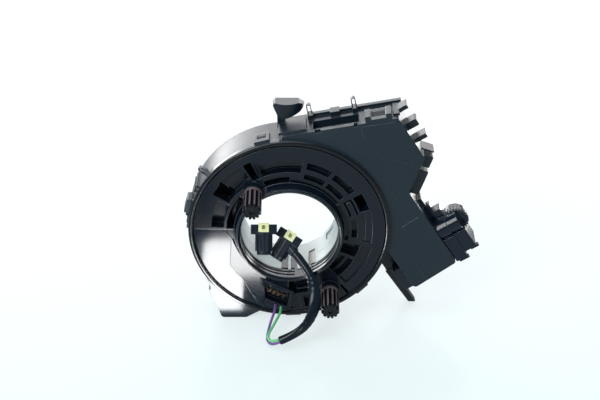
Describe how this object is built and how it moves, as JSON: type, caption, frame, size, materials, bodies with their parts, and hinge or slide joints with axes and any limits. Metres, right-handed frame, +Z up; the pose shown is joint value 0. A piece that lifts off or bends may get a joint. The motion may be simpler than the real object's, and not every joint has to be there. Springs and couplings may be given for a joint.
{
  "type": "steering clock spring",
  "caption": "Steering clock spring: a black rotor with drive posts and airbag plugs that turns in a fixed case with an arm of connectors and a steering angle sensor.",
  "frame": {"origin": "on the rotor's axis, in the plane of the rotor's front face", "axes": "+Y along the rotor's axis, away from the steering wheel and down the column, +Z up as the case stands, +X towards the arm with the connectors"},
  "size_m": [0.1544, 0.0558, 0.125],
  "materials": {
    "case_plastic": "satin black PBT, moulded",
    "rotor_plastic": "satin black moulded",
    "gloss_black": "polished black moulded",
    "natural_plastic": "natural acetal",
    "contact_brass": "plated",
    "spring_steel": "bright strip",
    "board": "solder mask",
    "chip": "moulded package",
    "magnet": "sintered",
    "cable_film": "polyester film over copper",
    "liner": "slippery film",
    "lock_yellow": "moulded",
    "plug_plastic": "satin moulded",
    "sleeve": "soft vinyl tube",
    "wire_purple": "vinyl insulation",
    "wire_green": "vinyl insulation"
  },
  "bodies": {
    "case": {"front_cover": "case_plastic", "rear_housing": "case_plastic", "sensor_cover": "case_plastic", "liner_disc": "liner", "flat_cable": "cable_film", "case_terminal": "case_plastic", "circuit_board": "board", "board_parts": "chip", "connector_housing": "gloss_black", "main_pins": "contact_brass", "round_pins": "contact_brass", "spring_clips": "spring_steel"},
    "rotor": {"rotor_disc": "rotor_plastic", "rotor_terminal": "rotor_plastic", "drive_post_upper": "rotor_plastic", "drive_post_lower": "rotor_plastic", "sensor_ring": "natural_plastic", "outlet_cover": "gloss_black", "squib_socket": "rotor_plastic", "squib_contacts": "contact_brass", "plug_1": "plug_plastic", "plug_2": "plug_plastic", "harness_sleeve": "sleeve", "wire_purple": "wire_purple", "wire_green": "wire_green"},
    "lock_1": {"plug_lock_1": "lock_yellow"},
    "lock_2": {"plug_lock_2": "lock_yellow"},
    "gear_1": {"measuring_gear_1": "natural_plastic", "magnet_1": "magnet"},
    "gear_2": {"measuring_gear_2": "natural_plastic", "magnet_2": "magnet"}
  },
  "joints": [
    {"name": "rotor_spin", "type": "hinge", "parent": "case", "child": "rotor", "pos_m": [0, 0, 0], "axis": [0, 1, 0], "range_deg": [-900, 900]},
    {"name": "gear_1_spin", "type": "hinge", "parent": "case", "child": "gear_1", "pos_m": [0.03493, 0.017, 0.02931], "axis": [0, 1, 0], "range_deg": [-2521, 2521]},
    {"name": "gear_2_spin", "type": "hinge", "parent": "case", "child": "gear_2", "pos_m": [0.04416, 0.017, 0.00464], "axis": [0, 1, 0], "range_deg": [-2801, 2801]},
    {"name": "lock_1_slide", "type": "slide", "parent": "rotor", "child": "lock_1", "axis": [0, 0.5075, 0.8616], "range_m": [0, 0.002]},
    {"name": "lock_2_slide", "type": "slide", "parent": "rotor", "child": "lock_2", "axis": [0.5299, 0.4304, 0.7307], "range_m": [0, 0.002]}
  ],
  "couplings": [
    {"joint": "gear_1_spin", "follows": "rotor_spin", "ratio": -2.8},
    {"joint": "gear_2_spin", "follows": "rotor_spin", "ratio": -3.1111}
  ]
}
